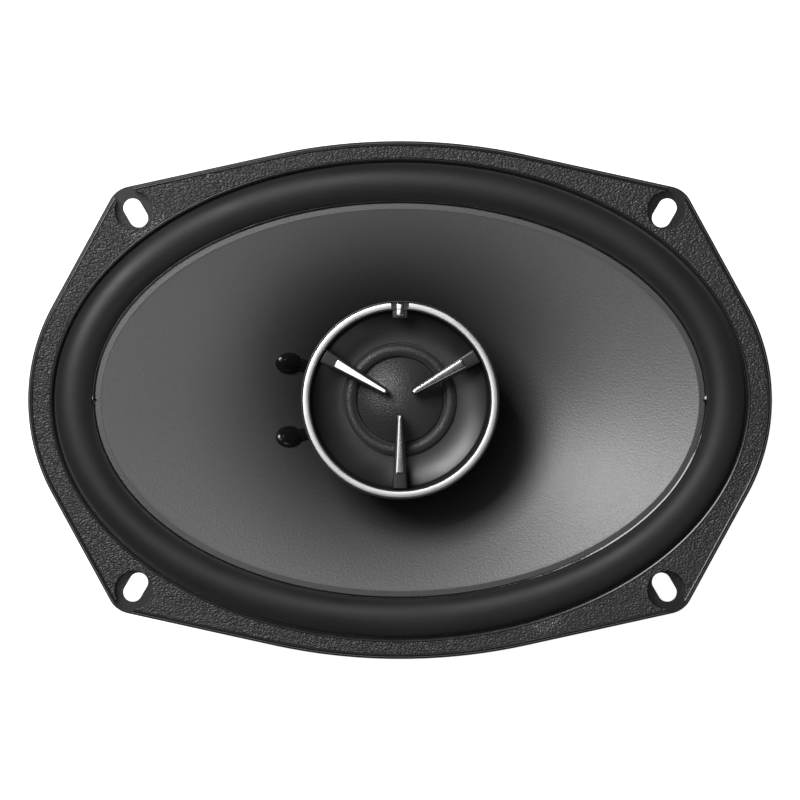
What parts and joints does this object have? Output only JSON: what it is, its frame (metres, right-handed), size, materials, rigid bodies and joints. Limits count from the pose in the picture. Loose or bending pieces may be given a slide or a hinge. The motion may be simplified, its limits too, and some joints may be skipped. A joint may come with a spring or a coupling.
{
  "type": "coaxial car speaker",
  "caption": "Oval coaxial car speaker: windowed steel basket, rubber half-roll surround, grey cone, ringed tweeter on a central post, and a ferrite motor.",
  "frame": {"origin": "centre of the flange's rear mounting face", "axes": "+Z out of the cone towards the listener, +X along the long axis, terminals at -X"},
  "size_m": [0.237, 0.165, 0.0954],
  "materials": {
    "basket": "semi-gloss black paint on stamped steel",
    "gasket": "leather-grained moulded plastic",
    "surround": "smooth satin rubber",
    "cone": "satin mica-filled polypropylene with a fine metallic speckle",
    "glue": "glossy black adhesive",
    "former": "amber polyimide film",
    "copper": "enamelled copper wire",
    "felt": "black felt",
    "spider_cloth": "resin-stiffened cotton",
    "plated_steel": "zinc-plated steel",
    "ferrite": "ground ferrite ceramic",
    "board": "black phenolic board",
    "tinned_brass": "tin-plated brass",
    "capacitor_film": "blue sleeve on an electrolytic capacitor",
    "tinsel": "braided tinsel wire",
    "wire_red": "red PVC insulation",
    "wire_black": "black PVC insulation",
    "post_metal": "turned aluminium",
    "black_plastic": "fine satin black ABS",
    "nickel": "nickel plating",
    "chrome": "bright chrome",
    "dome_cloth": "coated black silk"
  },
  "bodies": {
    "basket": {"basket": "basket", "gasket": "gasket", "surround": "surround", "spider": "spider_cloth", "front_plate": "plated_steel", "ferrite_magnet": "ferrite", "back_plate_pole": "plated_steel", "motor_rivets": "plated_steel", "terminal_board": "board", "terminal_positive": "tinned_brass", "terminal_negative": "tinned_brass", "terminal_eyelets": "tinned_brass", "board_rivets": "plated_steel", "crossover_capacitor": "capacitor_film", "tinsel_lead_positive": "tinsel", "tinsel_lead_negative": "tinsel", "tweeter_wire_positive": "wire_red", "tweeter_wire_negative": "wire_black", "tweeter_post": "post_metal", "post_nut": "plated_steel", "tweeter_housing": "black_plastic", "tweeter_yoke": "plated_steel", "tweeter_magnet": "nickel", "tweeter_pole_disc": "plated_steel", "diaphragm_ring": "black_plastic", "tweeter_roll": "dome_cloth", "tweeter_bezel": "black_plastic", "fin_inlays": "chrome", "bright_ring": "chrome", "index_mark": "chrome"},
    "cone_assembly": {"cone": "cone", "lead_glue_caps": "glue", "voice_coil_former": "former", "voice_coil_winding": "copper", "dust_ring": "felt"},
    "tweeter_diaphragm": {"tweeter_dome": "dome_cloth", "tweeter_coil_former": "former", "tweeter_coil_winding": "copper"}
  },
  "joints": [
    {"name": "cone_travel", "type": "slide", "parent": "basket", "child": "cone_assembly", "axis": [0, 0, 1], "range_m": [-0.005, 0.005], "stiffness_N_per_m": 2500, "deforming": ["surround", "spider", "tinsel_lead_positive", "tinsel_lead_negative"]},
    {"name": "tweeter_travel", "type": "slide", "parent": "basket", "child": "tweeter_diaphragm", "axis": [0, 0, 1], "range_m": [-0.0004, 0.0004], "stiffness_N_per_m": 60, "deforming": ["tweeter_roll"]}
  ]
}
